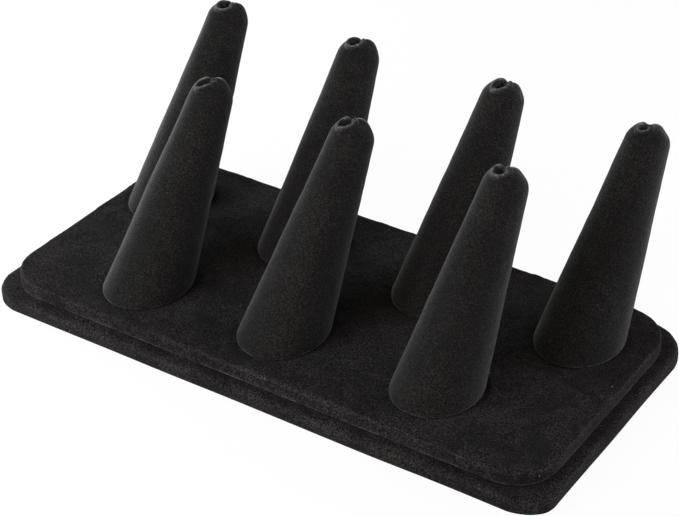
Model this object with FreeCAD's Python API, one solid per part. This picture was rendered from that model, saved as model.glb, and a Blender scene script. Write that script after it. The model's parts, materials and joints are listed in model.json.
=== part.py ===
import FreeCAD, Part
import math
import os

Vector = FreeCAD.Vector
os.makedirs("parts", exist_ok=True)

# Sheet materials, in millimetres
velvet = 0.85                # velvet with its glue, ground cloth and pile together
felt = 0.5                   # lining below the base

# Lower tier
lower_length = 226.0         # fibreboard, without its velvet
lower_width = 112.4
lower_thickness = 4.0
lower_corner = 14.5
lower_edge_round = 1.8       # rounded top edge of the board
edge_limit = 0.8             # share of a board's thickness that its rounded edge takes at most

# Upper tier
ledge = 4.5                  # how much of the lower tier shows all round
upper_thickness = 4.0
upper_corner = 15.5
upper_edge_round = 0.5

# Velvet turned under the boards, and the lining glued over it
hem_width = 12.0
hem_least_corner = 3.0       # the hem's inner corners are never sharper than this
fold_round = 0.98            # folded velvet edges are rounded to this share of its thickness
lining_inset = 5.0           # the lining stays this far inside the lower tier's outline
darts_per_corner = 3         # wedges cut out of the hem so that it lies flat round a corner
dart_width = 1.6
dart_length = 8.0

# Fingers: turned cones with a ball-shaped tip
core_foot_radius = 14.45     # square to the axis, where the axis meets the base
core_tip_radius = 7.05
finger_length = 70.0         # from the foot to the centre of the ball tip
finger_lean = 32.5           # degrees back from upright
row_ends_in = 21.5           # from the upper board's ends to the outer feet of the back row
back_row_in = 27.7           # from the upper board's back edge to the back row's feet
front_row_in = 25.7          # and from its front edge to the front row's feet
foot_hem_opening = 8.0       # radius left open by the velvet turned under a foot

# The hole in the tip that the sleeve's end is tucked into
mouth_tilt = 48.0            # degrees forward of the finger's own axis
mouth_radius = 1.75
mouth_depth = 5.0
tuck_wall = 0.9              # gathered velvet round the mouth
tuck_gap = 0.1               # between the tucked velvet and the core
lip_roll = 1.1               # radius of the roll of velvet round the mouth
lip_rise = 0.45              # how far it stands above the ball
lip_blend = 0.8              # hollow round the foot of the roll
lip_inside = 0.9             # rounding of the hole's rim, as a share of the roll

# The slot that the tuck pulls into the tip, from the mouth towards the seam, between two lobes
slot_radius = 1.35           # half its width, with a round bottom
slot_depth = 1.2
slot_place = 32.0            # degrees past the mouth's axis, where it is deepest
slot_bend = 12.0             # radius of its bottom's curve along the slot

# The sleeve's seam, from the slot over the tip and down the back
seam_turn = -6.0             # degrees to the right of straight back, here to the left
seam_radius = 0.5
seam_depth = 0.4

# Countersunk wood screws, from below through both boards
screw_length = 25.0
screw_radius = 1.75
screw_head_radius = 3.5
screw_point = 4.0
screw_end_radius = 0.2       # the point's very end
screw_gap = 0.1              # between a screw and what it passes through
recess_width = 1.0
recess_length = 4.0
recess_depth = 1.1

# How each finger was set by hand: its foot's place along X and Y off the even pattern,
# its lean back and to the right off the even lean, in degrees, and its length off the even length
set_by_hand = {
    "back_1": (-2.3, -0.5, 0.0, 0.6, 0.5),
    "back_2": (-0.1, -0.2, -0.4, -0.3, 0.5),
    "back_3": (-0.1, 0.0, 0.2, 1.5, 0.6),
    "back_4": (-2.1, 1.8, 0.2, 1.1, -0.6),
    "front_1": (-2.1, -1.5, 0.6, 1.5, -1.2),
    "front_2": (-2.5, 0.2, 1.2, 1.8, -1.1),
    "front_3": (0.3, 1.1, -1.1, 1.7, -1.4),
}

# Heights of the layers, from the bottom up
lower_hem_bottom = felt
lower_board_bottom = lower_hem_bottom + velvet
lower_board_top = lower_board_bottom + lower_thickness
lower_top = lower_board_top + velvet
upper_board_bottom = lower_top + velvet
upper_board_top = upper_board_bottom + upper_thickness
base_top = upper_board_top + velvet
core_bottom = base_top + velvet

# The upper board follows from the lower one
upper_length = lower_length - 2 * ledge
upper_width = lower_width - 2 * ledge

# The even pattern of the feet follows from the upper board
fingers_in = {row: sum(name.startswith(row) for name in set_by_hand) for row in ("back", "front")}
finger_pitch = (upper_length - 2 * row_ends_in) / (fingers_in["back"] - 1)
row_place = {"back": upper_width / 2 - back_row_in, "front": front_row_in - upper_width / 2}

tall = 2 * finger_length     # longer than anything that it is used to cut


def rounded_slab(length, width, corner, bottom, top):
    """A flat slab with rounded corners between two heights, centred on the origin."""
    slab = Part.makeBox(length, width, top - bottom, Vector(-length / 2, -width / 2, bottom))
    uprights = [edge for edge in slab.Edges if edge.BoundBox.ZLength > 0.9 * (top - bottom)]
    return slab.makeFillet(corner, uprights)


def round_rim(solid, radius, height):
    """Round every edge of a solid that lies at one height."""
    rim = [edge for edge in solid.Edges
           if abs(edge.BoundBox.ZMin - height) < 0.01 and abs(edge.BoundBox.ZMax - height) < 0.01]
    return solid.makeFillet(radius, rim)


def board_edge(edge_round, thickness):
    """The rounding of a board's top edge, which its thickness limits."""
    return min(edge_round, edge_limit * thickness)


def board(length, width, corner, edge_round, bottom, thickness):
    """Fibreboard with its top edge rounded over."""
    slab = rounded_slab(length, width, corner, bottom, bottom + thickness)
    return round_rim(slab, board_edge(edge_round, thickness), bottom + thickness)


def corner_darts(length, width, corner, bottom):
    """Wedges cut from the turned-under velvet, pointing out of each rounded corner."""
    wedges = []
    for side_x in (-1, 1):
        for side_y in (-1, 1):
            centre = Vector(side_x * (length / 2 - corner), side_y * (width / 2 - corner), bottom)
            for number in range(darts_per_corner):
                turn = math.radians(90 * (number + 1) / (darts_per_corner + 1))
                out = Vector(side_x * math.cos(turn), side_y * math.sin(turn), 0)
                across = Vector(-out.y, out.x, 0)
                tip = centre + out * (corner - 2 * velvet)
                inner = tip - out * dart_length
                outline = Part.makePolygon([tip, inner + across * (dart_width / 2),
                                            inner - across * (dart_width / 2), tip])
                wedges.append(Part.Face(outline).extrude(Vector(0, 0, velvet)))
    return wedges


def board_cover(length, width, corner, edge_round, bottom, thickness):
    """Velvet round a board: over the top, down the edges and turned under by the hem's width."""
    under = bottom - velvet
    top = bottom + thickness + velvet
    outer = rounded_slab(length + 2 * velvet, width + 2 * velvet, corner + velvet, under, top)
    outer = round_rim(outer, board_edge(edge_round, thickness) + velvet, top)
    outer = round_rim(outer, fold_round * velvet, under)
    inner = board(length, width, corner, edge_round, bottom, thickness)
    opening = hem_opening(length, width, corner, under, bottom)
    cover = outer.cut(inner).cut(opening)
    return cover.cut(corner_darts(length, width, corner, under))


def hem_opening(length, width, corner, bottom, top):
    """The space that the hem leaves open below a board."""
    inner_corner = max(corner - hem_width, hem_least_corner)
    return rounded_slab(length - 2 * hem_width, width - 2 * hem_width, inner_corner, bottom, top)


def lining():
    """Felt laid flat across the underside and glued to the hem all round."""
    inset = 2 * (lining_inset - velvet)
    corner = lower_corner + velvet - lining_inset
    return rounded_slab(lower_length - inset, lower_width - inset, corner, 0, felt)


def placed_along(origin, x_way, z_way):
    """The placement at an origin whose X and Z axes run two given ways."""
    y_way = z_way.cross(x_way)
    return FreeCAD.Placement(FreeCAD.Matrix(
        x_way.x, y_way.x, z_way.x, origin.x,
        x_way.y, y_way.y, z_way.y, origin.y,
        x_way.z, y_way.z, z_way.z, origin.z,
        0, 0, 0, 1))


class Finger:
    """Where one finger stands and how it leans."""

    def __init__(self, name):
        row, number = name.split("_")
        off_x, off_y, off_lean, lean_right, off_length = set_by_hand[name]
        even_x = (int(number) - (fingers_in[row] + 1) / 2) * finger_pitch
        self.name = name
        self.foot = Vector(even_x + off_x, row_place[row] + off_y, base_top)
        self.lean = math.radians(finger_lean + off_lean)
        self.length = finger_length + off_length
        self.axis = Vector(math.tan(math.radians(lean_right)), math.tan(self.lean), 1).normalize()
        right = (Vector(1, 0, 0) - self.axis * self.axis.x).normalize()
        self.place = placed_along(self.foot, right, self.axis)
        reach = math.hypot(core_foot_radius, self.length)
        self.taper = math.acos(core_tip_radius / reach) - math.atan2(self.length, core_foot_radius)

    def set_up(self, shape):
        """Carry a shape from the upright finger to the leaning one."""
        moved = shape.copy()
        moved.Placement = self.place.multiply(shape.Placement)
        return moved


def cone_below_tip(finger, skin):
    """The cone of a finger, upright, with a skin of some thickness, up to where its ball tip begins."""
    radius = core_tip_radius + skin
    below = -2 * core_foot_radius * math.tan(finger.lean)
    meet_radius = radius * math.cos(finger.taper)
    meet_height = finger.length + radius * math.sin(finger.taper)
    below_radius = meet_radius + (meet_height - below) * math.tan(finger.taper)
    return Part.makeCone(below_radius, meet_radius, meet_height - below, Vector(0, 0, below))


def with_ball_tip(finger, skin, ball):
    """Set the upper part of a ball on the cone that it meets smoothly."""
    meet_height = finger.length + (core_tip_radius + skin) * math.sin(finger.taper)
    room = Part.makeBox(tall, tall, tall, Vector(-tall / 2, -tall / 2, meet_height))
    return cone_below_tip(finger, skin).fuse(ball.common(room)).removeSplitter()


def stand_on(solid, height):
    """Cut a leaning solid off level at a height."""
    room = Part.makeBox(2 * lower_length, 2 * lower_length, tall,
                        Vector(-lower_length, -lower_length, height))
    return solid.common(room)


def mouth_axis():
    """The direction that the tip's hole faces, on the upright finger."""
    tilt = math.radians(mouth_tilt)
    return Vector(0, -math.sin(tilt), math.cos(tilt))


def face_mouth(finger, shape):
    """Turn a shape about +Z at the origin to the mouth's axis at the centre of the tip."""
    shape.Placement = FreeCAD.Placement(Vector(0, 0, finger.length),
                                        FreeCAD.Rotation(Vector(1, 0, 0), mouth_tilt))
    return shape


def arc_about(centre, radius, start, end):
    """An arc in the XZ plane between two angles, in radians from the Z axis towards X."""
    points = [centre + Vector(math.sin(turn), 0, math.cos(turn)) * radius
              for turn in (start, (start + end) / 2, end)]
    return Part.Arc(*points).toShape()


def turned_tip(finger, edges):
    """Turn the half section of a tip, or of its hole, about the mouth's axis."""
    profile = Part.Face(Part.Wire(edges))
    return face_mouth(finger, profile.revolve(Vector(0, 0, 0), Vector(0, 0, 1), 360))


def tip_hole(finger, radius, bottom):
    """A round-bottomed hole that runs from inside the tip out past its surface."""
    past = 2 * core_tip_radius
    end = Vector(0, 0, bottom + radius)
    edges = [Part.LineSegment(Vector(radius, 0, past), end + Vector(radius, 0, 0)).toShape(),
             arc_about(end, radius, math.pi / 2, math.pi),
             Part.LineSegment(Vector(0, 0, bottom), Vector(0, 0, past)).toShape(),
             Part.LineSegment(Vector(0, 0, past), Vector(radius, 0, past)).toShape()]
    return turned_tip(finger, edges)


def finger_core(finger, tuck_clearance):
    """The turned cone with the hole and slot for the tucked velvet, cut level at the foot."""
    radius = mouth_radius + tuck_wall + tuck_clearance
    bottom = core_tip_radius - mouth_depth - velvet - tuck_clearance
    cone = with_ball_tip(finger, 0, face_mouth(finger, Part.makeSphere(core_tip_radius)))
    cone = cone.cut(tip_hole(finger, radius, bottom)).cut(tip_slot(finger, velvet + tuck_clearance))
    return stand_on(finger.set_up(cone), core_bottom)


def ball_with_lip(finger):
    """The sleeve's ball tip with the roll round the mouth, before the mouth is opened."""
    ball = core_tip_radius + velvet
    lip_ring = mouth_radius + lip_roll
    reach = ball + lip_rise - lip_roll
    lip_turn = math.asin(lip_ring / reach)
    lip = Vector(lip_ring, 0, math.sqrt(reach ** 2 - lip_ring ** 2))
    to_blend = ball + lip_blend
    opening = (reach ** 2 + to_blend ** 2 - (lip_roll + lip_blend) ** 2) / (2 * reach * to_blend)
    blend_turn = lip_turn + math.acos(opening)
    blend = Vector(math.sin(blend_turn), 0, math.cos(blend_turn)) * to_blend
    from_lip = blend - lip
    lip_end = math.atan2(from_lip.x, from_lip.z)
    lip_top = lip.z + lip_roll
    edges = [arc_about(Vector(0, 0, 0), ball, math.pi, blend_turn),
             arc_about(blend, lip_blend, blend_turn - math.pi, lip_end - math.pi),
             arc_about(lip, lip_roll, lip_end, 0),
             Part.LineSegment(Vector(lip_ring, 0, lip_top), Vector(0, 0, lip_top)).toShape(),
             Part.LineSegment(Vector(0, 0, lip_top), Vector(0, 0, -ball)).toShape()]
    return turned_tip(finger, edges)


def sleeve_outside(finger):
    """The outside of a sleeve, upright, with its mouth opened and the lip rolled into it."""
    outer = with_ball_tip(finger, velvet, ball_with_lip(finger))
    outer = outer.cut(tip_hole(finger, mouth_radius, core_tip_radius - mouth_depth))
    rim = [edge for edge in outer.Edges if not edge.Degenerated and isinstance(edge.Curve, Part.Circle)
           and abs(edge.Curve.Radius - mouth_radius) < 0.001
           and (edge.Curve.Center - Vector(0, 0, finger.length)).Length > 0.8 * core_tip_radius]
    return outer.makeFillet(lip_inside * lip_roll, rim)


def seam_ways(finger):
    """On the upright finger: square out of the cone at the seam, and down along the cone there."""
    turn = math.radians(seam_turn)
    outward = Vector(math.sin(turn), math.cos(turn), 0)
    upward = Vector(0, 0, 1)
    square_out = outward * math.cos(finger.taper) + upward * math.sin(finger.taper)
    down = outward * math.sin(finger.taper) - upward * math.cos(finger.taper)
    return square_out, down


def over_tip(finger, turn):
    """The way from the tip's centre that lies a turn past the mouth's to the seam, and the way across."""
    out = mouth_axis()
    across = out.cross(seam_ways(finger)[0]).normalize()
    return out * math.cos(turn) + across.cross(out) * math.sin(turn), across


def tip_slot(finger, skin):
    """What the slot takes out of a tip, widened by a skin: a round-rimmed wheel sunk into its crown."""
    way, across = over_tip(finger, math.radians(slot_place))
    half = slot_radius + skin
    ring = slot_bend - slot_radius
    corners = [Vector(ring, 0, -half), Vector(0, 0, -half), Vector(0, 0, half), Vector(ring, 0, half)]
    edges = [arc_about(Vector(ring, 0, 0), half, 0, math.pi)]
    edges += [Part.LineSegment(*pair).toShape() for pair in zip(corners, corners[1:])]
    section = Part.Face(Part.Wire(edges))
    wheel = section.revolve(Vector(0, 0, 0), Vector(0, 0, 1), 360)
    from_centre = core_tip_radius + velvet - slot_depth + slot_bend
    wheel.Placement = placed_along(Vector(0, 0, finger.length) + way * from_centre, way, across)
    return wheel


def seam_groove(finger):
    """The groove of the seam: from the mouth over the ball, then down the cone to below the foot."""
    line = core_tip_radius + velvet + seam_radius - seam_depth
    centre = Vector(0, 0, finger.length)
    square_out, down = seam_ways(finger)
    swing = math.degrees(math.acos(mouth_axis() * square_out))
    arc = Part.makeTorus(line, seam_radius, Vector(0, 0, 0), Vector(0, 0, 1), 0, 360, swing)
    arc.Placement = placed_along(centre, *over_tip(finger, 0))
    start = centre + square_out * line
    straight = Part.makeCylinder(seam_radius, tall, start, down)
    return [arc, straight, Part.makeSphere(seam_radius, start)]


def finger_cover(finger):
    """The velvet sleeve: tucked in at the tip, seamed down the back and turned under at the foot."""
    outer = stand_on(finger.set_up(sleeve_outside(finger)), base_top)
    outer = round_rim(outer, fold_round * velvet, base_top)
    outer = outer.cut([finger.set_up(piece) for piece in [tip_slot(finger, 0)] + seam_groove(finger)])
    hem_hole = Part.makeCylinder(foot_hem_opening, velvet, finger.foot)
    return outer.cut(finger_core(finger, 0)).cut(hem_hole)


def screw_place(finger):
    """The screw stands upright, set back so that it ends on the leaning finger's axis half way up."""
    grip = lower_board_bottom + screw_length - base_top
    return Vector(finger.foot.x, finger.foot.y + math.tan(finger.lean) * grip / 2, lower_board_bottom)


def screw(place):
    """A countersunk wood screw with a cross recess, its head flush below the lower board."""
    head_height = screw_head_radius - screw_radius
    shank_length = screw_length - screw_point - head_height
    head = Part.makeCone(screw_head_radius, screw_radius, head_height, place)
    shank = Part.makeCylinder(screw_radius, shank_length, place + Vector(0, 0, head_height))
    point = Part.makeCone(screw_radius, screw_end_radius, screw_point,
                          place + Vector(0, 0, head_height + shank_length))
    body = head.fuse([shank, point]).removeSplitter()
    for size in ((recess_length, recess_width), (recess_width, recess_length)):
        corner = place - Vector(size[0] / 2, size[1] / 2, 0)
        body = body.cut(Part.makeBox(size[0], size[1], recess_depth, corner))
    return body


def screw_hole(place):
    """What a screw takes out of the pieces that it passes through."""
    radius = screw_radius + screw_gap
    shaft = Part.makeCylinder(radius, felt + screw_length + screw_gap, place - Vector(0, 0, felt))
    sink = Part.makeCone(screw_head_radius, radius, screw_head_radius - radius, place)
    return shaft.fuse(sink)


def save(node, shape):
    """Write one node to its file."""
    shape.exportStep(os.path.join("parts", node + ".step"))
    print(node, "valid" if shape.isValid() else "not valid", len(shape.Solids), round(shape.Volume, 1))


def make_base(holes):
    """The two boards with their velvet, and the lining."""
    lower = (lower_length, lower_width, lower_corner, lower_edge_round, lower_board_bottom, lower_thickness)
    upper = (upper_length, upper_width, upper_corner, upper_edge_round, upper_board_bottom, upper_thickness)
    save("lower_board", board(*lower).cut(holes))
    save("lower_cover", board_cover(*lower).cut(holes))
    save("upper_board", board(*upper).cut(holes))
    save("upper_cover", board_cover(*upper).cut(holes))
    save("bottom_lining", lining())


def make_all():
    """Write every node."""
    fingers = [Finger(name) for name in set_by_hand]
    places = [screw_place(finger) for finger in fingers]
    make_base([screw_hole(place) for place in places])
    save("finger_screws", Part.makeCompound([screw(place) for place in places]))
    for finger, place in zip(fingers, places):
        save("finger_core_" + finger.name, finger_core(finger, tuck_gap).cut(screw_hole(place)))
        save("finger_cover_" + finger.name, finger_cover(finger))


make_all()
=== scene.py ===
import bpy
import bmesh
import json
import math
import numpy as np
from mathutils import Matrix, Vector


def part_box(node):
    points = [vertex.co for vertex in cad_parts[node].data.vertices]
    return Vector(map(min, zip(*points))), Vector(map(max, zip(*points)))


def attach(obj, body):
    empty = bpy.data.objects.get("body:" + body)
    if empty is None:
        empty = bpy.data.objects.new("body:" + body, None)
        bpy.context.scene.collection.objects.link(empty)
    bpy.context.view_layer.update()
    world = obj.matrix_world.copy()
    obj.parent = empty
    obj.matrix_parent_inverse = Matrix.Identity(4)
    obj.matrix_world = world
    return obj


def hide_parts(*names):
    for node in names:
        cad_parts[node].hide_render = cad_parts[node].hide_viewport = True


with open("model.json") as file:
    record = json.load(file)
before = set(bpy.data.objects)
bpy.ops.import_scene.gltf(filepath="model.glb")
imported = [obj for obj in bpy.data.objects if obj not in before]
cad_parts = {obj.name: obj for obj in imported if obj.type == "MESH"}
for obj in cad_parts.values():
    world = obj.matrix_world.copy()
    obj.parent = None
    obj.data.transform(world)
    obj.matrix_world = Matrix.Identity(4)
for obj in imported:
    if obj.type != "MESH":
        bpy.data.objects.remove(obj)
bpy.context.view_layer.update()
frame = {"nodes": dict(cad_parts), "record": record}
mm = 0.001
print("frame loaded")


# mesh helpers

# A piece from a grid of points: rows run from one end of the profile to the other and columns run
# once round the piece, so the last column joins the first. No faces follow the row named openAfter,
# where the strip passes from the outside of the velvet to its inside. The last argument is, from 0 to 1
# at each point, the painted highlight for the materials: pile standing open, and light caught on edges.
def gridPiece(name, points, openAfter, openPileHighlights):
    rows, cols, _ = points.shape
    index = np.arange(rows * cols).reshape(rows, cols)
    beside = np.roll(index, -1, axis=1)
    quads = np.stack([index[:-1], beside[:-1], beside[1:], index[1:]], axis=-1)
    quads = np.delete(quads, openAfter, axis=0).reshape(-1, 4)
    mesh = bpy.data.meshes.new(name)
    mesh.vertices.add(rows * cols)
    mesh.vertices.foreach_set("co", (points * mm).astype(np.float32).ravel())
    mesh.loops.add(quads.size)
    mesh.loops.foreach_set("vertex_index", quads.ravel().astype(np.int32))
    mesh.polygons.add(len(quads))
    mesh.polygons.foreach_set("loop_start", np.arange(0, quads.size, 4, dtype=np.int32))
    mesh.update(calc_edges=True)
    # a painted highlight share on each point: open pile, and light caught on edges and rims
    openPileAndHighlight = mesh.attributes.new("openPileHighlight", "FLOAT", "POINT")
    openPileAndHighlight.data.foreach_set("value", openPileHighlights.astype(np.float32).ravel())
    shell = bmesh.new()
    shell.from_mesh(mesh)
    bmesh.ops.remove_doubles(shell, verts=shell.verts, dist=0.00001)  # closes poles and middle lines
    bmesh.ops.recalc_face_normals(shell, faces=shell.faces)
    shell.to_mesh(mesh)
    shell.free()
    mesh.shade_smooth()
    piece = bpy.data.objects.new(name, mesh)
    bpy.context.scene.collection.objects.link(piece)
    return piece


# Smooth random height: a sum of waves with random directions and phases, about one unit high.
# points end in x, y, z in millimetres; waveLength is the mean length of a wave.
def softNoise(points, waveLength, seed, waves=14):
    draw = np.random.default_rng(seed)
    ways = draw.normal(size=(waves, 3))
    ways /= np.linalg.norm(ways, axis=1, keepdims=True)
    sizes = 2 * np.pi / (waveLength * draw.uniform(0.6, 1.6, waves))
    phases = draw.uniform(0, 2 * np.pi, waves)
    total = np.zeros(points.shape[:-1])
    for way, size, phase in zip(ways, sizes, phases):
        total += np.sin(points @ way * size + phase)
    return total / math.sqrt(waves / 2)


def smoothStep(low, high, value):
    t = np.clip((value - low) / (high - low), 0, 1)
    return t * t * (3 - 2 * t)


def bump(value, middle, width):
    return np.exp(-((value - middle) / width) ** 2)


# where the fingers stand

fingerForm = {
    "coreFoot": 14.45,      # radius of the wooden core square to its axis, at the foot
    "coreTip": 7.05,
    "velvet": 0.85,
    "length": 70.0,         # foot to the centre of the ball tip
    "lean": 32.5,
    "pitch": 58.0,
    "backRow": 24.0,
    "frontRow": -26.0,
    "mouthTilt": 48.0,      # the tucked mouth faces this far forward of the axis
    "seamTurn": -6.0,       # the seam lies this far to the right of straight back
    "hemOpening": 8.0,
}

# off the even pattern: foot x, foot y, lean back, lean right, length
setByHand = {
    "back_1": (-2.3, -0.5, 0.0, 0.6, 0.5),
    "back_2": (-0.1, -0.2, -0.4, -0.3, 0.5),
    "back_3": (-0.1, 0.0, 0.2, 1.5, 0.6),
    "back_4": (-2.1, 1.8, 0.2, 1.1, -0.6),
    "front_1": (-2.1, -1.5, 0.6, 1.5, -1.2),
    "front_2": (-2.5, 0.2, 1.2, 1.8, -1.1),
    "front_3": (0.3, 1.1, -1.1, 1.7, -1.4),
}

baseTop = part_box("upper_cover")[1].z / mm
ballRadius = fingerForm["coreTip"] + fingerForm["velvet"]


# The leaning frame of one finger: its foot, its axis, and the directions to its right and its back.
def fingerFrame(name):
    row, number = name.split("_")
    offX, offY, offLean, leanRight, offLength = setByHand[name]
    inRow = 4 if row == "back" else 3
    x = (int(number) - (inRow + 1) / 2) * fingerForm["pitch"] + offX
    y = fingerForm["backRow" if row == "back" else "frontRow"] + offY
    lean = math.radians(fingerForm["lean"] + offLean)
    axis = np.array([math.tan(math.radians(leanRight)), math.tan(lean), 1.0])
    axis /= np.linalg.norm(axis)
    right = np.array([1.0, 0, 0]) - axis * axis[0]
    right /= np.linalg.norm(right)
    length = fingerForm["length"] + offLength
    reach = math.hypot(fingerForm["coreFoot"], length)
    taper = math.acos(fingerForm["coreTip"] / reach) - math.atan2(length, fingerForm["coreFoot"])
    return {"foot": np.array([x, y, baseTop]), "axis": axis, "right": right,
            "back": np.cross(axis, right), "length": length, "taper": taper}


fingers = {name: fingerFrame(name) for name in setByHand}
print("fingers placed:", len(fingers))


# velvet sleeves

sleeveForm = {
    "around": 184,                # columns of points round a sleeve
    "crowding": 0.55,             # how far they crowd together at the seam
    "hemRows": 2,                 # rows of points in each part, from the foot to the end of the hole
    "rollRows": 8,
    "coneRows": 40,
    "ballRows": 26,
    "hollowRows": 6,
    "lipRows": 13,
    "wallRows": 5,
    "endRows": 5,
    "footRoll": 1.2,              # how far the turned-under foot edge is rounded each way
    "mouth": 1.75,                # radius of the tucked hole
    "mouthDepth": 3.6,
    "lipRoll": 1.0,
    "lipRise": 0.75,
    "lipBlend": 0.8,
    "lipWidth": 1.0,              # how far the uneven part of its rise spreads
    "gatherRise": 0.10,
    "slotDepth": 1.9,             # dent between the two lobes of the tip
    "slotWidth": 1.1,
    "creaseDepth": 0.35,          # sharp crease along its bottom
    "creaseWidth": 0.3,
    "slotStart": (0.05, 0.30),    # where the slot sets in and dies out, in radians past the mouth's axis
    "slotEnd": (0.95, 1.5),
    "lobeStart": (0.3, 0.65),
    "rimEnd": (0.45, 0.75),
    "leftLobe": (-2.8, 2.0),      # place across the slot, and width
    "rightLobe": (3.5, 2.5),
    "rim": (1.5, 0.5),
    "rightRise": 0.75,
    "rightFall": (0, 2.5),        # where the right side falls off, across the slot
    "tipShare": 0.62,             # of the ball's radius; what lies deeper belongs to the hole
    "cutPlace": 32.0,             # the cut in the wood below: degrees past the mouth's axis, radius of
    "cutWheel": 12.95,            # its wheel, distance of the wheel's centre and half its width
    "cutReach": 18.7,
    "cutHalf": 2.3,
    "cutTurn": -8.0,
    "cutLength": 0.6,             # radians to each side of its place
    "cutHole": 2.6,
    "clearance": 0.3,             # from the wood to the skin
    "seamDepth": 0.2,
    "seamWidth": 0.9,
    "seamRadius": 11,             # middling radius of a finger, which turns angles into widths
    "wobble": 0.06,
    "inside": 0.6,                # thickness of the velvet below its pile
    "openHighlightWidth": 0.45,            # painted highlight of pile standing open and of caught light: on the lip, in the mouth, on the slot's rims and along the foot
    "openHighlightBehind": 0.15,           # slot's rims and along the foot
    "openHighlightFront": 0.8,
    "mouthOpenHighlight": 0.35,
    "rimOpenHighlight": 0.25,
    "footOpenHighlight": 0.3,
}

# How each tip was tucked in by hand. mouth: how far its hole faces forward of the axis and to the
# right, in degrees. size, squeeze and longWay: its length and narrow width as shares and the turn of
# its long way. slot: its turn to the right of straight back. Then shares of the slot's depth and of
# the lip's rise, and how far the left lobe stands above the ball and the right one below it.
tipTuck = {
    "back_1": {"mouth": (47, 3), "size": 1.15, "squeeze": 0.80, "longWay": 35, "slot": -3, "depth": 1.0,
               "lip": 0.9, "left": 0.1, "right": 0.2},
    "back_2": {"mouth": (45, 0), "size": 1.20, "squeeze": 0.75, "longWay": 25, "slot": -5, "depth": 1.1,
               "lip": 1.1, "left": 0.4, "right": 0.0},
    "back_3": {"mouth": (48, 3), "size": 1.35, "squeeze": 0.60, "longWay": 30, "slot": -2, "depth": 1.1,
               "lip": 1.1, "left": 0.5, "right": 0.4},
    "back_4": {"mouth": (52, -2), "size": 0.75, "squeeze": 0.70, "longWay": 40, "slot": -11, "depth": 1.1,
               "lip": 0.8, "left": 0.1, "right": 0.6},
    "front_1": {"mouth": (53, -2), "size": 1.35, "squeeze": 0.45, "longWay": 38, "slot": -14, "depth": 1.1,
                "lip": 1.0, "left": 0.2, "right": 0.2},
    "front_2": {"mouth": (50, -4), "size": 1.25, "squeeze": 0.62, "longWay": 35, "slot": -13, "depth": 1.2,
                "lip": 1.2, "left": 0.5, "right": 0.1},
    "front_3": {"mouth": (47, -5), "size": 1.05, "squeeze": 0.85, "longWay": 20, "slot": -14, "depth": 1.2,
                "lip": 1.2, "left": 0.6, "right": 0.6},
}


# Half section of the tip about the mouth's axis, outside in: the hollow at the foot of the lip, the
# roll of the lip, the wall of the hole and its round bottom. Returns distances from the axis and
# heights along it, the angle at which the section leaves the ball, and the radius of the lip's crest.
def mouthSection():
    form = sleeveForm
    ring = form["mouth"] + form["lipRoll"]
    reach = ballRadius + form["lipRise"] - form["lipRoll"]
    lipTurn = math.asin(ring / reach)
    lipZ = math.sqrt(reach ** 2 - ring ** 2)
    toBlend = ballRadius + form["lipBlend"]
    both = form["lipRoll"] + form["lipBlend"]
    blendTurn = lipTurn + math.acos((reach ** 2 + toBlend ** 2 - both ** 2) / (2 * reach * toBlend))
    blendX, blendZ = math.sin(blendTurn) * toBlend, math.cos(blendTurn) * toBlend
    lipEnd = math.atan2(blendX - ring, blendZ - lipZ)
    hollow = np.linspace(blendTurn - math.pi, lipEnd - math.pi, form["hollowRows"] + 1)[1:]
    roll = np.linspace(lipEnd, -math.pi / 2, form["lipRows"] + 1)[1:]
    bottom = fingerForm["coreTip"] - form["mouthDepth"]
    wall = np.linspace(lipZ, bottom + form["mouth"], form["wallRows"] + 1)[1:]
    end = np.linspace(math.pi / 2, math.pi, form["endRows"] + 1)[1:]
    out = np.concatenate([blendX + form["lipBlend"] * np.sin(hollow), ring + form["lipRoll"] * np.sin(roll),
                          np.full(len(wall), form["mouth"]), form["mouth"] * np.sin(end)])
    up = np.concatenate([blendZ + form["lipBlend"] * np.cos(hollow), lipZ + form["lipRoll"] * np.cos(roll),
                         wall, bottom + form["mouth"] + form["mouth"] * np.cos(end)])
    return np.maximum(out, 0), up, blendTurn, ring


# The mouth's own directions: along its axis, to its right, and back over the crown.
def mouthFrame(finger, tuck):
    forward, aside = (math.radians(angle) for angle in tuck["mouth"])
    up = (finger["axis"] * math.cos(forward) - finger["back"] * math.sin(forward)) * math.cos(aside)
    up = up + finger["right"] * math.sin(aside)
    right = finger["right"] - up * (up @ finger["right"])
    right /= np.linalg.norm(right)
    return up, right, np.cross(up, right)


# The straight part of a sleeve: the hem under the foot, the rolled foot edge, and the cone along its
# straight lines up to the ball. sideways and backwards say on which side of the finger each column is.
def conePart(finger, sideways, backwards):
    form = sleeveForm
    meetR = ballRadius * math.cos(finger["taper"])
    meetZ = finger["length"] + ballRadius * math.sin(finger["taper"])
    slope = math.tan(finger["taper"])
    tip = meetR + meetZ * slope
    drop = sideways * finger["right"][2] + backwards * finger["back"][2]
    footZ = -tip * drop / (finger["axis"][2] - slope * drop)    # where each line meets the base

    def onCone(height):
        radius = meetR + (meetZ - height) * slope
        return (finger["foot"] + (radius * sideways)[..., None] * finger["right"]
                + (radius * backwards)[..., None] * finger["back"] + height[..., None] * finger["axis"])

    edge = onCone(footZ)
    inward = finger["foot"] - edge
    inward /= np.linalg.norm(inward, axis=1, keepdims=True)
    under = edge + inward * form["footRoll"]
    above = onCone(footZ + form["footRoll"])
    hemHole = finger["foot"] - inward * fingerForm["hemOpening"]
    t = np.linspace(0, 1, form["hemRows"] + 1)[:-1, None, None]
    hem = hemHole + (under - hemHole) * t
    t = np.linspace(0, 1, form["rollRows"])[:, None, None]
    roll = under * (1 - t) ** 2 + edge * 2 * t * (1 - t) + above * t ** 2
    t = np.linspace(0, 1, form["coneRows"] + 1)[1:, None]
    cone = onCone(footZ + form["footRoll"] + (meetZ - footZ - form["footRoll"]) * t)
    return hem, roll, cone


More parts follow.
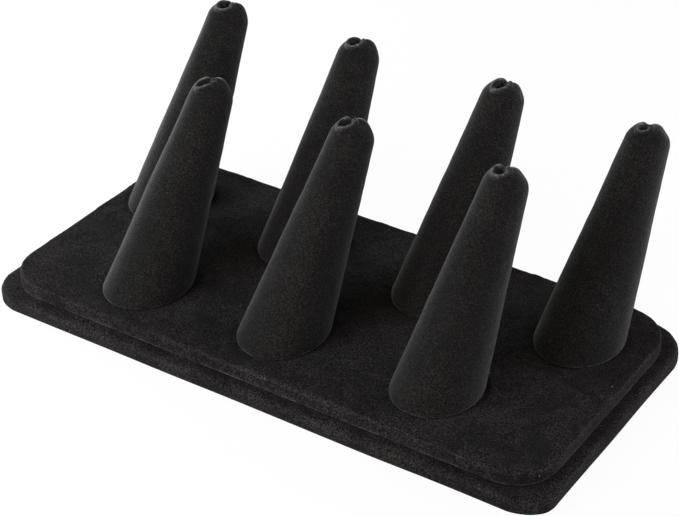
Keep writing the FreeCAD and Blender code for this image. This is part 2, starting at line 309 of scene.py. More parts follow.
# The slot from the mouth over the crown, between a high left lobe and a lower right one. east and
# north are places across the mouth's axis and ups along it. Returns how far the skin is lifted or
# sunk, and how much of the slot's rims each place holds.
def slotDent(tuck, east, north, ups):
    form = sleeveForm
    slot = math.radians(tuck["slot"])
    along = east * math.sin(slot) + north * math.cos(slot)
    across = east * math.cos(slot) - north * math.sin(slot)
    past = np.arctan2(along, ups)
    reach = smoothStep(*form["slotStart"], past) * (1 - smoothStep(*form["slotEnd"], past))
    dent = tuck["depth"] * (form["slotDepth"] * bump(across, 0, form["slotWidth"])
                            + form["creaseDepth"] * np.exp(-np.abs(across) / form["creaseWidth"]))
    lobes = tuck["left"] * bump(across, *form["leftLobe"])
    lobes = lobes - tuck["right"] * smoothStep(*form["rightFall"], across)
    lobes = lobes + form["rightRise"] * bump(across, *form["rightLobe"])
    lobes = lobes * smoothStep(*form["lobeStart"], past)
    rims = reach * (1 - smoothStep(*form["rimEnd"], past)) * bump(np.abs(across), *form["rim"])
    return (lobes - dent) * reach, rims


# How far the wooden core reaches from the ball's centre towards each spot: a ball with a hole and,
# past the hole, the cut of a round-rimmed wheel.
def woodReach(finger, spot):
    form = sleeveForm
    tilt, cutTurn = math.radians(fingerForm["mouthTilt"]), math.radians(form["cutTurn"])
    east = spot @ finger["right"]
    north = spot @ (finger["axis"] * math.sin(tilt) + finger["back"] * math.cos(tilt))
    high = spot @ (finger["axis"] * math.cos(tilt) - finger["back"] * math.sin(tilt))
    beside = east * math.cos(cutTurn) - north * math.sin(cutTurn)
    onward = east * math.sin(cutTurn) + north * math.cos(cutTurn)
    past = np.arctan2(onward, high) - math.radians(form["cutPlace"])
    arc = np.sqrt(np.maximum(form["cutWheel"] ** 2 - (form["cutReach"] * np.sin(past)) ** 2, 0))
    rounded = form["cutHalf"] - np.sqrt(np.maximum(form["cutHalf"] ** 2 - beside ** 2, 0))
    inCut = (np.abs(past) < form["cutLength"]) & (np.abs(beside) < form["cutHalf"])
    wood = np.where(inCut, form["cutReach"] * np.cos(past) - arc + rounded, fingerForm["coreTip"])
    return np.where(np.hypot(east, north) < form["cutHole"], 0, np.minimum(wood, fingerForm["coreTip"]))


# The tip of a sleeve: over the ball along great circles that meet at the mouth's axis, and down the
# hole. Returns its rows of points and at each the painted highlight: the pile standing open, and light
# caught.
def tuckedTip(finger, tuck, mouth, seed, sideways, backwards):
    form = sleeveForm
    mouthUp, mouthRight, mouthBack = mouth
    out, up, blendTurn, ring = mouthSection()
    taper = finger["taper"]
    equator = ((math.cos(taper) * sideways)[:, None] * finger["right"]
               + (math.cos(taper) * backwards)[:, None] * finger["back"] + math.sin(taper) * finger["axis"])
    about = np.arctan2(equator @ mouthRight, equator @ mouthBack)
    start = np.arccos(equator @ mouthUp)
    t = np.linspace(0, 1, form["ballRows"] + 1)[1:, None]
    fall = start + (blendTurn - start) * t
    outs = np.concatenate([ballRadius * np.sin(fall), np.repeat(out[:, None], len(about), 1)])
    ups = np.concatenate([ballRadius * np.cos(fall), np.repeat(up[:, None], len(about), 1)])

    # the mouth is squeezed one way, and the squeezed skin near it keeps its height
    way = about - math.radians(tuck["longWay"])
    inner = tuck["size"] / np.sqrt(np.cos(way) ** 2 + (np.sin(way) / tuck["squeeze"]) ** 2)
    near = 1 - smoothStep(0.9 * ring, 1.7 * ring, outs)
    lowest = smoothStep(0.0, 0.6 * form["mouth"], outs)
    size = np.sqrt(outs ** 2 + ups ** 2)
    outs = outs * (1 - near * (1 - inner))
    onBall = (near > 0) * smoothStep(0.75 * ballRadius, 0.95 * ballRadius, size)
    ups = ups + onBall * (np.sqrt(np.maximum(size ** 2 - outs ** 2, 0)) - ups)

    # its lip rises unevenly, more in front, and gathers run out from it
    front = 0.5 - 0.5 * np.cos(about)
    crest = bump(outs, ring * inner, form["lipWidth"]) * lowest
    wave = 0.5 * np.sin(9 * about + seed) + 0.5 * np.sin(5 * about + 2 * seed)
    ups = ups + crest * (form["lipRise"] * (tuck["lip"] - 1 + 0.5 * front) + form["gatherRise"] * wave)
    sunk, rims = slotDent(tuck, outs * np.sin(about), outs * np.cos(about), ups)

    # the pile stands open on the lip, above all in front, in the mouth and along the slot's rims; this is
    # painted as highlight, also for the light caught on the lip's roll and the slot's rims
    lipOpenHighlight = form["openHighlightBehind"] + form["openHighlightFront"] * smoothStep(0.25, 0.8, front)
    openPileAndHighlight = bump(outs, ring * inner + 0.2, form["openHighlightWidth"]) * lipOpenHighlight * (0.75 + 0.25 * wave)
    openPileAndHighlight = openPileAndHighlight + form["mouthOpenHighlight"] * (1 - smoothStep(0.4 * ring * inner, 0.9 * ring * inner, outs))
    openPileAndHighlight = openPileAndHighlight + form["rimOpenHighlight"] * rims

    def placed(outs, ups):
        east, north = outs * np.sin(about), outs * np.cos(about)
        return east[..., None] * mouthRight + north[..., None] * mouthBack + ups[..., None] * mouthUp

    # the skin above the hole stays clear of the wood
    size = np.sqrt(outs ** 2 + ups ** 2)
    onTip = size > form["tipShare"] * ballRadius
    lift = np.where(onTip, sunk, 0)
    aboveHole = (np.arange(len(outs)) <= form["ballRows"] + form["hollowRows"] + form["lipRows"])[:, None]
    least = woodReach(finger, placed(outs, ups)) + form["clearance"] - size
    lift = np.where(aboveHole, np.maximum(lift, least), lift) / size
    centre = finger["foot"] + finger["axis"] * finger["length"]
    return centre + placed(outs * (1 + lift), ups * (1 + lift)), np.where(onTip, openPileAndHighlight, 0)


# One sleeve. Rows run from the hem under the foot, round the rolled foot edge, up the cone, over the
# ball, down the hole, and back to the hem inside the velvet.
def sleevePoints(name):
    finger, tuck, form = fingers[name], tipTuck[name], sleeveForm
    seed = sorted(fingers).index(name)
    seam = math.radians(fingerForm["seamTurn"])
    step = np.linspace(0, 2 * np.pi, form["around"], endpoint=False)
    turn = seam + step - form["crowding"] * np.sin(step)
    sideways, backwards = np.sin(turn), np.cos(turn)
    mouth = mouthFrame(finger, tuck)
    hem, roll, cone = conePart(finger, sideways, backwards)
    dome, openPileAndHighlight = tuckedTip(finger, tuck, mouth, seed, sideways, backwards)

    # a shallow groove along the seam, and a little unevenness everywhere but in the hole
    points = np.concatenate([hem, roll, cone, dome])
    row = np.arange(len(points))
    skin = len(hem) + len(roll)
    ballStart = skin + len(cone)
    clear = smoothStep(0, 6, row - skin)[:, None]
    outsideHole = 1 - smoothStep(len(points) - 14, len(points) - 9, row)[:, None]
    along = np.clip((points - finger["foot"]) @ finger["axis"], 0, finger["length"])
    outward = points - finger["foot"] - along[..., None] * finger["axis"]
    outward /= np.maximum(np.linalg.norm(outward, axis=-1, keepdims=True), 1e-6)
    seamGroove = -form["seamDepth"] * bump((turn - seam) * form["seamRadius"], 0, form["seamWidth"])
    seamRows = clear * (1 - smoothStep(ballStart + 4, ballStart + 14, row))[:, None]
    uneven = form["wobble"] * (softNoise(points, 26, 40 + seed) + 0.4 * softNoise(points, 7, 60 + seed))
    points = points + outward * (clear * outsideHole * uneven + seamRows * seamGroove)[..., None]

    # the pile also stands open here and there along the foot, painted as highlight that also stands for
    # light caught on the rolled foot edge
    openPileHighlights = np.zeros(points.shape[:2])
    openPileHighlights[-len(openPileAndHighlight):] = openPileAndHighlight
    patches = np.clip(0.5 + 0.5 * softNoise(points, 5, 80 + seed), 0, 1)
    openPileHighlights += form["footOpenHighlight"] * patches ** 2 * (bump(row, skin - 5, 2) * (row > 2))[:, None]

    # the inside of the velvet: a few rows one thickness further in, back to the hem
    chosen = [len(points) - 1, len(points) - 9, ballStart + form["ballRows"], ballStart + 14, ballStart,
              skin + form["coneRows"] // 2, skin, 1]
    inside = points[chosen] - outward[chosen] * form["inside"]
    inside[:2] = points[chosen[:2]] - mouth[0] * form["inside"]
    openPileHighlights = np.concatenate([openPileHighlights, np.zeros(inside.shape[:2]), openPileHighlights[:1]])
    return np.concatenate([points, inside, points[:1]]), len(points) - 1, np.clip(openPileHighlights, 0, 1)


def makeSleeve(name):
    sleeve = gridPiece("sleeve_" + name, *sleevePoints(name))
    sleeve.data.materials.append(fingerVelvet)
    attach(sleeve, "root")
    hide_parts("finger_cover_" + name)


# velvet round the two boards

# corners: radius at the right back, left back, left front and right front. Then how uneven the side is,
# how far the pile stands open along the bottom and the top edge, painted as highlight lines that also stand
# for light caught on these rolled edges, and how far the near corner swells.
coverForm = {
    "lower": {"node": "lower_cover", "corners": (16.8, 15.4, 14.5, 12.2), "topRound": 2.65, "topRows": 12,
              "seed": 5, "uneven": 0.15, "openHighlightBelow": 0.10, "openHighlightAbove": 0.05, "cornerSwell": 0.6},
    "upper": {"node": "upper_cover", "corners": (17.6, 16.4, 16.8, 15.5), "topRound": 1.35, "topRows": 44,
              "seed": 9, "uneven": 0.12, "openHighlightBelow": 0.9, "openHighlightAbove": 0.06, "cornerSwell": 0.0},
}

# What both covers share. Rows 0 and 1 of a cover are its hem, 2 to 8 its bottom edge, 9 and 10 its
# side, 11 to 20 its top edge, and the next ones its top.
coverCloth = {
    "hem": 12.0,
    "underRound": 0.85,
    "spacing": 1.25,
    "sideRows": (11, 7),             # middle and width, in rows
    # rows of the painted highlight lines along the bottom and the top edge: middle and width
    "openHighlightBelowRows": (6.6, 0.9),
    "openHighlightAboveRows": (14, 2),
    "topAfter": 15,
    "creases": (28, 47, 71),         # degrees round each corner
    "creaseWidth": 0.07,             # radians
    "creaseDepth": 0.10,
    "creaseOpenHighlight": 0.06,
    "swellPlace": (-26, 0.33),       # degrees round the base, and width in radians
    "drawnPlace": (-72, 0.25),       # the cloth beside the swelling is drawn in
    "drawnShare": 0.4,
    "pucker": 0.10,
    "highestPucker": 0.3,
    "rise": (0.16, 1.9, 1.0),        # round each foot: height, distance from the foot and width
    "dip": (0.38, 0.2, 0.7),
}


# Once round a rounded rectangle, evenly spaced: points, outward directions and how far each is into a
# corner, from 0 on the straight sides to 1 in the middle of a corner.
def roundedOutline(halfLength, halfWidth, corners, spacing):
    parts = []
    for number, (sideX, sideY) in enumerate(((1, 1), (-1, 1), (-1, -1), (1, -1))):
        corner, nextCorner = corners[number], corners[(number + 1) % 4]
        middle = np.array([sideX * (halfLength - corner), sideY * (halfWidth - corner)])
        bend = np.linspace(0, 90, int(corner * math.pi / 2 / spacing * 1.3), endpoint=False)
        angle = np.radians(90 * number + bend)
        out = np.stack([np.cos(angle), np.sin(angle)], axis=1)
        parts.append((middle + corner * out, out, np.sin(np.radians(2 * bend))))
        straight = math.radians(90 * number + 90)
        side = (halfLength if number % 2 == 0 else halfWidth) * 2 - corner - nextCorner
        count = int(side / spacing)
        out = np.repeat([[math.cos(straight), math.sin(straight)]], count, 0)
        run = np.array([-math.sin(straight), math.cos(straight)])
        steps = np.linspace(0, side, count, endpoint=False)
        parts.append((middle + corner * out[0] + steps[:, None] * run, out, np.zeros(count)))
    return [np.concatenate([part[i] for part in parts]) for i in range(3)]


# Signed distance, nearly, from a point on the base to the foot of the nearest finger.
def footDistance(points):
    nearest = np.full(points.shape[:-1], 1e3)
    for finger in fingers.values():
        offset = points - finger["foot"]
        along = offset @ finger["axis"]
        radius = np.linalg.norm(offset - along[..., None] * finger["axis"], axis=-1)
        widening = (finger["length"] - along) * math.tan(finger["taper"])
        foot = ballRadius / math.cos(finger["taper"]) + widening
        nearest = np.minimum(nearest, radius - foot)
    return nearest


# The plain rows of one cover, from the hem's inner edge, out below, round the bottom edge, up the side,
# round the top edge and in to the middle line, then back the same way on the inside of the velvet.
# Returns them with the number of rows outside, the outward directions and the share of a corner.
def coverRows(form):
    cloth = coverCloth
    low, high = (np.array(corner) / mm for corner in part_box(form["node"]))
    half = (high - low)[:2] / 2
    line, out, inCorner = roundedOutline(half[0], half[1], form["corners"], cloth["spacing"])
    spineX = np.clip(line[:, 0], half[1] - half[0], half[0] - half[1])
    spine = np.stack([spineX, np.zeros(len(line))], axis=1)
    velvet = fingerForm["velvet"]
    under, top = low[2], high[2]
    bottomR, topR = cloth["underRound"], form["topRound"]
    insets, heights = [cloth["hem"], 0.5 * cloth["hem"]], [under, under]
    for angle in np.linspace(0, np.pi / 2, 7):
        insets.append(bottomR * (1 - math.sin(angle)))
        heights.append(under + bottomR * (1 - math.cos(angle)))
    for share in (0.35, 0.7):
        insets.append(0)
        heights.append(under + bottomR + (top - topR - under - bottomR) * share)
    for angle in np.linspace(0, np.pi / 2, 10):
        insets.append(topR * (1 - math.cos(angle)))
        heights.append(top - topR + topR * math.sin(angle))
    rows = [line - out * inset for inset in insets]
    levels = [np.full(len(line), height) for height in heights]
    edge = rows[-1]
    for share in np.linspace(1, 0, form["topRows"] + 1)[1:]:
        rows.append(spine + (edge - spine) * share)
        levels.append(np.full(len(line), top))
    outside = len(rows)
    rows.append(spine)
    levels.append(np.full(len(line), top - velvet))
    for inset, height in ((topR + 1, top - velvet), (velvet, top - topR), (velvet, under + velvet),
                          (cloth["hem"], under + velvet)):
        rows.append(line - out * inset)
        levels.append(np.full(len(line), height))
    rows.append(rows[0])
    levels.append(levels[0])
    points = np.concatenate([np.array(rows), np.array(levels)[..., None]], axis=-1)
    return points, outside, out, inCorner


# One cover as it lies: its rows of points, its last outside row and its painted highlight, for open pile and
# caught light.
def coverPoints(form):
    cloth = coverCloth
    seed = form["seed"]
    points, outside, out, inCorner = coverRows(form)

    # the side is a little uneven, and folds of the turned cloth show at the corners as shallow creases
    rowIndex = np.arange(len(points))
    onOutside = (rowIndex < outside)[:, None]
    side = bump(rowIndex, *cloth["sideRows"])[:, None] * onOutside
    uneven = form["uneven"] * softNoise(points, 45, seed)
    around = np.arctan2(out[:, 1], out[:, 0])
    inTurn = np.mod(around, np.pi / 2)
    creases = sum(bump(inTurn, np.radians(way), cloth["creaseWidth"]) for way in cloth["creases"])
    sideLift = side * (uneven - cloth["creaseDepth"] * creases * (inCorner > 0))

    # the near corner is drawn out towards its right end
    swellTurn, swellWidth = cloth["swellPlace"]
    drawnTurn, drawnWidth = cloth["drawnPlace"]
    swell = form["cornerSwell"] * bump(around, np.radians(swellTurn), swellWidth)
    drawn = cloth["drawnShare"] * form["cornerSwell"] * bump(around, np.radians(drawnTurn), drawnWidth)
    topStart = outside - form["topRows"]
    fade = smoothStep(-1, 6, rowIndex) * (1 - smoothStep(topStart, topStart + form["topRows"] / 2, rowIndex))
    sideLift = sideLift + (swell - drawn) * onOutside * fade[:, None]
    points[..., :2] += out[None] * sideLift[..., None]

    # the top is not quite flat: it dips a little beside each foot and puckers towards the edges
    onTop = ((rowIndex > cloth["topAfter"]) & (rowIndex < outside))[:, None]
    pucker = cloth["pucker"] * (softNoise(points, 9, seed + 1) + 0.7 * softNoise(points, 3.6, seed + 2))
    rim = 0
    if form["node"] == "upper_cover":
        gap = footDistance(points)
        (rise, risePlace, riseWidth), (dip, dipPlace, dipWidth) = cloth["rise"], cloth["dip"]
        rim = bump(gap, risePlace, riseWidth) * rise - bump(gap, dipPlace, dipWidth) * dip
        pucker = pucker * smoothStep(0, 4, gap)
    points[..., 2] += onTop * (rim + np.minimum(pucker, cloth["highestPucker"]))

    # painted highlight along the two edges, unevenly, and at the folds of the corners: the pile opens there,
    # and the rolled edges catch the light
    unevenOpenHighlight = np.clip(0.65 + 0.35 * softNoise(points, 25, seed + 3) + 0.3 * softNoise(points, 4, 31), 0.1, 1)
    below = form["openHighlightBelow"] * bump(rowIndex, *cloth["openHighlightBelowRows"])
    above = form["openHighlightAbove"] * bump(rowIndex, *cloth["openHighlightAboveRows"])
    openPileHighlights = unevenOpenHighlight * (below + above)[:, None] + cloth["creaseOpenHighlight"] * side * creases * inCorner
    return points, outside - 1, np.clip(openPileHighlights * onOutside, 0, 1)


def makeCover(key):
    form = coverForm[key]
    cover = gridPiece(key + "Velvet", *coverPoints(form))
    cover.data.materials.append(baseVelvet)
    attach(cover, "root")
    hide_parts(form["node"])


# shared surface effects

def newGroup(name, inputs, outputs):
    group = bpy.data.node_groups.new(name, "ShaderNodeTree")
    for label, kind, value in inputs:
        socket = group.interface.new_socket(name=label, in_out="INPUT", socket_type=kind)
        if value is not None:
            socket.default_value = value
    for label, kind in outputs:
        group.interface.new_socket(name=label, in_out="OUTPUT", socket_type=kind)
    return group, group.nodes.new("NodeGroupInput"), group.nodes.new("NodeGroupOutput")


def mathNode(tree, operation, first, second, clamp=False):
    node = tree.nodes.new("ShaderNodeMath")
    node.operation = operation
    node.use_clamp = clamp
    for socket, value in zip(node.inputs, (first, second)):
        if isinstance(value, (int, float)):
            socket.default_value = value
        else:
            tree.links.new(value, socket)
    return node.outputs[0]


def noiseNode(tree, vector, scale, detail, roughness, distortion=0.0):
    node = tree.nodes.new("ShaderNodeTexNoise")
    tree.links.new(vector, node.inputs["Vector"])
    tree.links.new(scale, node.inputs["Scale"])
    node.inputs["Detail"].default_value = detail
    node.inputs["Roughness"].default_value = roughness
    node.inputs["Distortion"].default_value = distortion
    return node.outputs["Fac"]


def rangeNode(tree, value, fromLow, fromHigh, toLow, toHigh):
    node = tree.nodes.new("ShaderNodeMapRange")
    node.interpolation_type = "SMOOTHSTEP"
    tree.links.new(value, node.inputs["Value"])
    limits = {"From Min": fromLow, "From Max": fromHigh, "To Min": toLow, "To Max": toHigh}
    for label, number in limits.items():
        node.inputs[label].default_value = number
    return node.outputs["Result"]


# fine pile: tips of the fibres as speckle, in two sizes
pileForm = {"detail": 1.0, "roughness": 0.6, "coarse": 0.66, "low": 0.14, "high": 0.46}


def makePileGroup():
    form = pileForm
    inputs = [("Vector", "NodeSocketVector", None), ("Scale", "NodeSocketFloat", 1500.0)]
    outputs = [("Speckle", "NodeSocketFloat"), ("Height", "NodeSocketFloat")]
    group, given, result = newGroup("pileGrain", inputs, outputs)
    vector, scale = given.outputs["Vector"], given.outputs["Scale"]
    fine = noiseNode(group, vector, scale, form["detail"], form["roughness"])
    coarseScale = mathNode(group, "MULTIPLY", scale, form["coarse"])
    coarse = noiseNode(group, vector, coarseScale, form["detail"], form["roughness"])
    both = mathNode(group, "MULTIPLY", fine, coarse)
    speckle = rangeNode(group, both, form["low"], form["high"], 0.0, 1.0)
    group.links.new(speckle, result.inputs["Speckle"])
    group.links.new(fine, result.inputs["Height"])
    return group


# pile brushed one way or the other in soft patches, wide ones and small ones mixed
brushForm = {"wideShare": 0.65, "smallShare": 0.35, "smaller": 4.3, "low": 0.36, "high": 0.64}


def makeBrushedGroup():
    form = brushForm
    inputs = [("Vector", "NodeSocketVector", None), ("Scale", "NodeSocketFloat", 45.0)]
    outputs = [("Patch", "NodeSocketFloat"), ("Height", "NodeSocketFloat")]
    group, given, result = newGroup("brushedPatches", inputs, outputs)
    vector, scale = given.outputs["Vector"], given.outputs["Scale"]
    wide = noiseNode(group, vector, scale, 4.0, 0.6, 0.8)
    small = noiseNode(group, vector, mathNode(group, "MULTIPLY", scale, form["smaller"]), 3.0, 0.6, 0.4)
    widePart = mathNode(group, "MULTIPLY", wide, form["wideShare"])
    smallPart = mathNode(group, "MULTIPLY", small, form["smallShare"])
    mixed = mathNode(group, "ADD", widePart, smallPart)
    patch = rangeNode(group, mixed, form["low"], form["high"], 0.0, 1.0)
    group.links.new(patch, result.inputs["Patch"])
    group.links.new(small, result.inputs["Height"])
    return group


# a few specks of lint: small dots in a few of the cells of a loose cell pattern
lintForm = {"dotInside": 0.03, "dotOutside": 0.06}


def makeLintGroup():
    inputs = [("Vector", "NodeSocketVector", None), ("Scale", "NodeSocketFloat", 160.0),
              ("Share", "NodeSocketFloat", 0.04)]
    group, given, result = newGroup("lintSpecks", inputs, [("Mask", "NodeSocketFloat")])
    cells = group.nodes.new("ShaderNodeTexVoronoi")
    group.links.new(given.outputs["Vector"], cells.inputs["Vector"])
    group.links.new(given.outputs["Scale"], cells.inputs["Scale"])
    inner, outer = lintForm["dotInside"], lintForm["dotOutside"]
    dot = rangeNode(group, cells.outputs["Distance"], inner, outer, 1.0, 0.0)
    split = group.nodes.new("ShaderNodeSeparateColor")
    group.links.new(cells.outputs["Color"], split.inputs[0])
    chosen = mathNode(group, "LESS_THAN", split.outputs[0], given.outputs["Share"])
    group.links.new(mathNode(group, "MULTIPLY", dot, chosen), result.inputs["Mask"])
    return group


pileGroup = makePileGroup()
brushedGroup = makeBrushedGroup()
lintGroup = makeLintGroup()


def useGroup(tree, group, vector, **values):
    node = tree.nodes.new("ShaderNodeGroup")
    node.node_tree = group
    tree.links.new(vector, node.inputs["Vector"])
    for label, value in values.items():
        node.inputs[label].default_value = value
    return node


def mixColour(tree, factor, first, second):
    node = tree.nodes.new("ShaderNodeMix")
    node.data_type = "RGBA"
    tree.links.new(factor, node.inputs["Factor"])
    for label, colour in (("A", first), ("B", second)):
        socket = next(s for s in node.inputs if s.name == label and s.type == "RGBA")
        if isinstance(colour, tuple):
            socket.default_value = (*colour, 1)
        else:
            tree.links.new(colour, socket)
    return next(s for s in node.outputs if s.type == "RGBA")


def newMaterial(name):
    material = bpy.data.materials.new(name)
    material.use_nodes = True
    tree = material.node_tree
    shader = tree.nodes["Principled BSDF"]
    place = tree.nodes.new("ShaderNodeTexCoord").outputs["Object"]
    return material, tree, shader, place


# the velvet pulled over the boards, and the same velvet stretched round the fingers, whose pile
# stands out and catches the light along their sides
baseLook = {
    "dark": (0.0066, 0.0059, 0.0058),
    "light": (0.086, 0.079, 0.078),
    # painted highlight colour: open pile, and light caught along edges, lips and rims
    "open": (0.27, 0.25, 0.25),
    "lint": (0.25, 0.25, 0.26),
    "sheen": 0.01,
    "sheenRoughness": 0.32,
    "sheenTint": (0.93, 0.95, 1.0),
    "pileScale": 2900.0,
    "patchScale": 42.0,
    "patchLow": 0.38,
    "patchHigh": 0.76,
    "bumpDepth": 0.00025,
    "lintShare": 0.14,
}
fingerLook = {
    "dark": (0.0078, 0.0073, 0.0072),
    "light": (0.053, 0.050, 0.047),
    # painted highlight colour: open pile, and light caught along edges, lips and rims
    "open": (0.23, 0.23, 0.23),
    "lint": (0.20, 0.20, 0.20),
    "sheen": 0.44,
    "sheenRoughness": 0.37,
    "sheenTint": (0.95, 0.97, 1.0),
    "pileScale": 2700.0,
    "patchScale": 42.0,
    "patchLow": 0.45,
    "patchHigh": 0.70,
    "bumpDepth": 0.0002,
    "lintShare": 0.08,
}


# what both velvets share
velvetForm = {
    "roughness": 1.0,
    "specular": 0.05,
    "leastOpenHighlight": 0.35,        # of the opened pile's painted highlight colour, even between the speckles
    "patchRelief": 1.5,       # relief of the brushed patches against that of the pile
    "bumpStrength": 0.8,
}


def makeVelvet(name, look):
    form = velvetForm
    material, tree, shader, place = newMaterial(name)
    pile = useGroup(tree, pileGroup, place, Scale=look["pileScale"])
    brushed = useGroup(tree, brushedGroup, place, Scale=look["patchScale"])
    lint = useGroup(tree, lintGroup, place, Share=look["lintShare"])
    openPileHighlight = tree.nodes.new("ShaderNodeAttribute")
    openPileHighlight.attribute_name = "openPileHighlight"
    patch = rangeNode(tree, brushed.outputs["Patch"], 0.0, 1.0, look["patchLow"], look["patchHigh"])
    tone = mathNode(tree, "MULTIPLY", pile.outputs["Speckle"], patch)
    # painted highlight: towards the open-pile highlight colour where the points' stored share says so
    tips = mathNode(tree, "ADD", pile.outputs["Speckle"], form["leastOpenHighlight"])
    openedAndLit = mathNode(tree, "MULTIPLY", openPileHighlight.outputs["Fac"], tips, clamp=True)
    colour = mixColour(tree, tone, look["dark"], look["light"])
    colour = mixColour(tree, openedAndLit, colour, look["open"])
    colour = mixColour(tree, lint.outputs["Mask"], colour, look["lint"])
    tree.links.new(colour, shader.inputs["Base Color"])
    shader.inputs["Roughness"].default_value = form["roughness"]
    shader.inputs["Specular IOR Level"].default_value = form["specular"]
    shader.inputs["Sheen Weight"].default_value = look["sheen"]
    shader.inputs["Sheen Roughness"].default_value = look["sheenRoughness"]
    shader.inputs["Sheen Tint"].default_value = (*look["sheenTint"], 1)
    patches = mathNode(tree, "MULTIPLY", brushed.outputs["Height"], form["patchRelief"])
    relief = tree.nodes.new("ShaderNodeBump")
    relief.inputs["Strength"].default_value = form["bumpStrength"]
    relief.inputs["Distance"].default_value = look["bumpDepth"]
    tree.links.new(mathNode(tree, "ADD", pile.outputs["Height"], patches), relief.inputs["Height"])
    tree.links.new(relief.outputs["Normal"], shader.inputs["Normal"])
    return material


baseVelvet = makeVelvet("baseVelvet", baseLook)
fingerVelvet = makeVelvet("fingerVelvet", fingerLook)


# Plain grain for what the velvet hides: fibreboard, turned wood, felt and steel. Two colours, the
# grain's scale, the roughness and how metallic it is.
hiddenLook = {
    "fibreboard": ((0.30, 0.20, 0.12), (0.40, 0.28, 0.17), 700.0, 0.85, 0.0),
    "core_wood": ((0.52, 0.37, 0.22), (0.66, 0.50, 0.32), 260.0, 0.6, 0.0),
    "felt": ((0.012, 0.012, 0.014), (0.035, 0.035, 0.038), 1100.0, 1.0, 0.0),
    "screw_steel": ((0.45, 0.43, 0.38), (0.60, 0.58, 0.52), 900.0, 0.35, 1.0),
}
smoothestShare = 0.85      # of the roughness, between the grains
grainRelief = 0.0001


def makeHidden(name):
    dark, light, scale, roughness, metal = hiddenLook[name]
    material, tree, shader, place = newMaterial(name + "Finish")
    pile = useGroup(tree, pileGroup, place, Scale=scale)
    tree.links.new(mixColour(tree, pile.outputs["Speckle"], dark, light), shader.inputs["Base Color"])
    shader.inputs["Metallic"].default_value = metal
    rough = rangeNode(tree, pile.outputs["Speckle"], 0.0, 1.0, roughness * smoothestShare, roughness)
    tree.links.new(rough, shader.inputs["Roughness"])
    relief = tree.nodes.new("ShaderNodeBump")
    relief.inputs["Distance"].default_value = grainRelief
    tree.links.new(pile.outputs["Height"], relief.inputs["Height"])
    tree.links.new(relief.outputs["Normal"], shader.inputs["Normal"])
    return material


def dressHidden():
    slots = {row["node"]: row["material_slot"] for row in frame["record"]["subparts"]}
    finishes = {name: makeHidden(name) for name in hiddenLook}
    for node, piece in frame["nodes"].items():
        if slots[node] in finishes:
            piece.data.materials.clear()
            piece.data.materials.append(finishes[slots[node]])


for name in fingers:
    makeSleeve(name)
print("sleeves made")
for key in coverForm:
    makeCover(key)
print("base covers made")
dressHidden()


# studio

studio = {
    "floorSize": 6.0,
    "floorColour": (0.9, 0.9, 0.9),
    "floorRoughness": 0.9,
    "floorGlow": 1.02,        # what the camera sees of it is mostly this even white
    "glowShare": 0.93,
    "world": 0.02,
    "lamps": {                # direction it stands in, height angle, distance, size, watts and colour
        "leftBox": (292, 11, 0.5, 0.32, 1.82, (0.99, 0.99, 0.98)),
        "rightBox": (50, 14, 0.5, 0.30, 1.65, (0.90, 0.86, 1.0)),
        "farBox": (88, 15, 1.6, 1.0, 3.9, (1.0, 0.97, 0.75)),
        "sideBox": (98, 20, 0.6, 0.35, 0.30, (0.80, 0.84, 1.0)),
        "frontBox": (225, 35, 0.6, 0.35, 2.3, (0.87, 0.95, 0.95)),
        "nearBox": (195, 18, 0.6, 0.35, 1.25, (1.0, 0.90, 0.97)),
        "wideBox": (165, 38, 1.6, 1.0, 3.6, (1.0, 0.95, 0.78)),
    },
}

cameraView = {
    "azimuth": 33.196,
    "elevation": 32.724,
    "distance": 0.68185,
    "aimRight": 0.00221,     # the aim lies this far right of and above the frame's origin
    "aimUp": 0.02296,
    "raised": 0.001,         # camera and aim together, above the frame's origin
    "focalPixels": 1907.8,
    "imageWidth": 679,
    "sensor": 36.0,
}


# 1 for rays from the camera, from a reflection or through glass, and 0 for those that carry light
def seenDirectly(tree):
    rays = tree.nodes.new("ShaderNodeLightPath")
    beyond = mathNode(tree, "MAXIMUM", rays.outputs["Is Glossy Ray"], rays.outputs["Is Transmission Ray"])
    return mathNode(tree, "MAXIMUM", rays.outputs["Is Camera Ray"], beyond)


def blendShaders(tree, share, first, second, output):
    blend = tree.nodes.new("ShaderNodeMixShader")
    tree.links.new(share, blend.inputs[0])
    tree.links.new(first.outputs[0], blend.inputs[1])
    tree.links.new(second.outputs[0], blend.inputs[2])
    tree.links.new(blend.outputs[0], tree.nodes[output].inputs["Surface"])


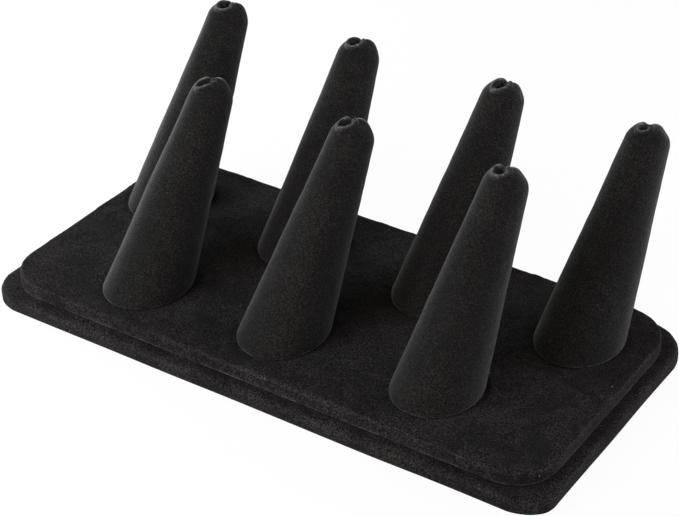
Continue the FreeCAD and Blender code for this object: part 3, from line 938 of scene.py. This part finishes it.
def makeFloor():
    half = studio["floorSize"] / 2
    mesh = bpy.data.meshes.new("floor")
    corners = [(-half, -half, 0), (half, -half, 0), (half, half, 0), (-half, half, 0)]
    mesh.from_pydata(corners, [], [(0, 1, 2, 3)])
    floor = bpy.data.objects.new("floor", mesh)
    bpy.context.scene.collection.objects.link(floor)
    material, tree, shader, _ = newMaterial("paleFloor")
    shader.inputs["Base Color"].default_value = (*studio["floorColour"], 1)
    shader.inputs["Roughness"].default_value = studio["floorRoughness"]
    shader.inputs["Specular IOR Level"].default_value = 0.0
    glow = tree.nodes.new("ShaderNodeEmission")
    glow.inputs["Strength"].default_value = studio["floorGlow"]
    share = mathNode(tree, "MULTIPLY", seenDirectly(tree), studio["glowShare"])
    blendShaders(tree, share, shader, glow, "Material Output")
    mesh.materials.append(material)


def makeWorld():
    world = bpy.data.worlds.new("studioWorld")
    bpy.context.scene.world = world
    world.use_nodes = True
    tree = world.node_tree
    light = tree.nodes["Background"]
    light.inputs["Color"].default_value = (1, 1, 1, 1)
    light.inputs["Strength"].default_value = studio["world"]
    white = tree.nodes.new("ShaderNodeBackground")
    white.inputs["Strength"].default_value = 1.0
    blendShaders(tree, seenDirectly(tree), light, white, "World Output")


def makeLamp(name):
    turn, rise, distance, size, power, colour = studio["lamps"][name]
    data = bpy.data.lights.new(name, "AREA")
    data.shape = "SQUARE"
    data.size = size
    data.energy = power
    data.color = colour
    turn, rise = math.radians(turn), math.radians(rise)
    lamp = bpy.data.objects.new(name, data)
    level = math.cos(rise)
    lamp.location = Vector((math.sin(turn) * level, math.cos(turn) * level, math.sin(rise))) * distance
    lamp.rotation_euler = (-lamp.location).to_track_quat("-Z", "Y").to_euler()
    bpy.context.scene.collection.objects.link(lamp)


def makeCamera():
    view = cameraView
    turn, rise = math.radians(view["azimuth"]), math.radians(view["elevation"])
    back = np.array([math.sin(turn) * math.cos(rise), -math.cos(turn) * math.cos(rise), math.sin(rise)])
    right = np.array([math.cos(turn), math.sin(turn), 0])
    up = np.cross(back, right)
    data = bpy.data.cameras.new("photoCamera")
    data.sensor_width = view["sensor"]
    data.lens = view["sensor"] * view["focalPixels"] / view["imageWidth"]
    data.clip_start = 0.01
    camera = bpy.data.objects.new("photoCamera", data)
    camera.location = back * view["distance"] + right * view["aimRight"] + up * view["aimUp"]
    camera.location.z += view["raised"]
    camera.rotation_euler = (math.pi / 2 - rise, 0, turn)
    bpy.context.scene.collection.objects.link(camera)
    bpy.context.scene.camera = camera


makeFloor()
makeWorld()
for name in studio["lamps"]:
    makeLamp(name)
makeCamera()
bpy.context.scene.view_settings.view_transform = "Standard"
print("studio set")
